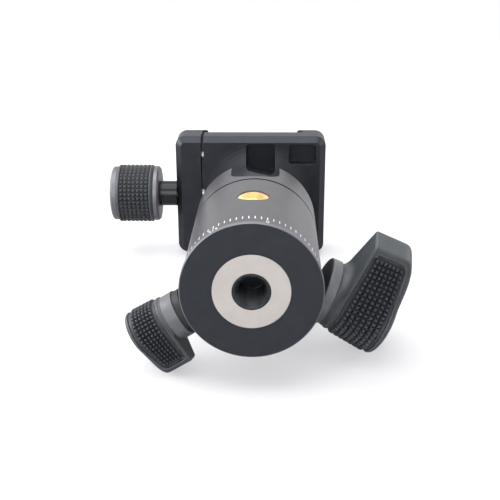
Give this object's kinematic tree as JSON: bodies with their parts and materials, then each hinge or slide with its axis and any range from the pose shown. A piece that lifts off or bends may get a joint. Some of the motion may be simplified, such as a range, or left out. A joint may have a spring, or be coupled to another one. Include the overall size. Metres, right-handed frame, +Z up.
{
  "type": "tripod ball head",
  "caption": "Ball head with a quick-release plate clamp, a wing knob that locks the ball, a pan lock knob and a threaded tripod socket.",
  "frame": {"origin": "mouth of the tripod socket, in the plane of the base", "axes": "+Z up the pan axis towards the clamp; -Y towards the drop notch and the badge; -X towards the clamp's knob at rest"},
  "size_m": [0.1045, 0.0559, 0.1054],
  "materials": {
    "anodised_body": "satin black anodised, turned and finely blasted",
    "anodised_dark": "matt black anodised, finely blasted",
    "steel": "turned steel",
    "black_steel": "blackened steel",
    "bearing_metal": "machined",
    "bronze": "machined",
    "polymer": "smooth bearing polymer",
    "knob_plastic": "fine grained moulding",
    "rubber": "moulded with small pyramids",
    "badge_foil": "amber foil",
    "badge_dome": "clear domed resin"
  },
  "bodies": {
    "base": {"base_disc": "anodised_dark", "base_washer": "steel", "threaded_bush": "black_steel", "base_screws": "steel", "spindle": "bearing_metal", "pan_washer_low": "polymer", "pan_washer_top": "polymer"},
    "housing": {"housing": "anodised_body", "retaining_ring": "bearing_metal", "collar": "anodised_body", "ball_liner": "polymer", "main_bush": "black_steel", "pan_bush": "black_steel", "badge_foil": "badge_foil", "badge_dome": "badge_dome"},
    "main_knob": {"main_screw": "steel", "main_clip": "steel", "main_knob": "knob_plastic", "main_inlay": "rubber"},
    "lock_wedge": {"lock_wedge": "bronze"},
    "ball_cup": {"ball_cup": "polymer"},
    "pan_knob": {"pan_screw": "steel", "pan_knob": "knob_plastic", "pan_inlay": "rubber"},
    "brake_shoe": {"brake_shoe": "bronze"},
    "ball": {"ball": "anodised_dark", "stem": "anodised_body", "stem_screw": "steel"},
    "clamp": {"clamp_body": "anodised_dark"},
    "jaw": {"jaw": "anodised_dark", "guide_pins": "steel", "spacer": "anodised_body"},
    "clamp_knob": {"clamp_screw": "steel", "knob_core": "anodised_body", "knob_sleeve": "rubber", "knob_cap": "anodised_body"}
  },
  "joints": [
    {"name": "pan", "type": "hinge", "parent": "base", "child": "housing", "pos_m": [0, 0, 0.03], "axis": [0, 0, 1], "continuous": true},
    {"name": "main_knob_turn", "type": "hinge", "parent": "housing", "child": "main_knob", "pos_m": [0.03187, 0.01446, 0.02495], "axis": [-0.9107, -0.4131, 0], "range_deg": [-25, 180]},
    {"name": "lock_wedge_slide", "type": "slide", "parent": "housing", "child": "lock_wedge", "axis": [0.9107, 0.4131, 0], "range_m": [-0.0000694, 0.0004999]},
    {"name": "ball_cup_lift", "type": "slide", "parent": "housing", "child": "ball_cup", "axis": [0, 0, 1], "range_m": [-0.0000187, 0.0001345]},
    {"name": "pan_knob_turn", "type": "hinge", "parent": "housing", "child": "pan_knob", "pos_m": [-0.02981, 0.01834, 0.015], "axis": [0.8517, -0.524, 0], "range_deg": [-60, 150]},
    {"name": "brake_shoe_slide", "type": "slide", "parent": "housing", "child": "brake_shoe", "axis": [0.8517, -0.524, 0], "range_m": [-0.0001333, 0.0003333]},
    {"name": "ball_tilt", "type": "hinge", "parent": "housing", "child": "ball", "pos_m": [0, 0, 0.0575], "axis": [1, 0, 0], "range_deg": [-45, 90]},
    {"name": "clamp_spin", "type": "hinge", "parent": "ball", "child": "clamp", "pos_m": [0, 0, 0.088], "axis": [0, 0, 1], "continuous": true},
    {"name": "jaw_slide", "type": "slide", "parent": "clamp", "child": "jaw", "axis": [1, 0, 0], "range_m": [-0.004, 0.0007]},
    {"name": "clamp_knob_turn", "type": "hinge", "parent": "jaw", "child": "clamp_knob", "pos_m": [-0.045, 0, 0.0945], "axis": [1, 0, 0], "range_deg": [-1800, 315]}
  ],
  "couplings": [
    {"joint": "main_knob_turn", "follows": "lock_wedge_slide", "rad_per_m": 6283.2},
    {"joint": "ball_cup_lift", "follows": "lock_wedge_slide", "ratio": 0.26795},
    {"joint": "pan_knob_turn", "follows": "brake_shoe_slide", "rad_per_m": 7854},
    {"joint": "clamp_knob_turn", "follows": "jaw_slide", "rad_per_m": 7854}
  ]
}
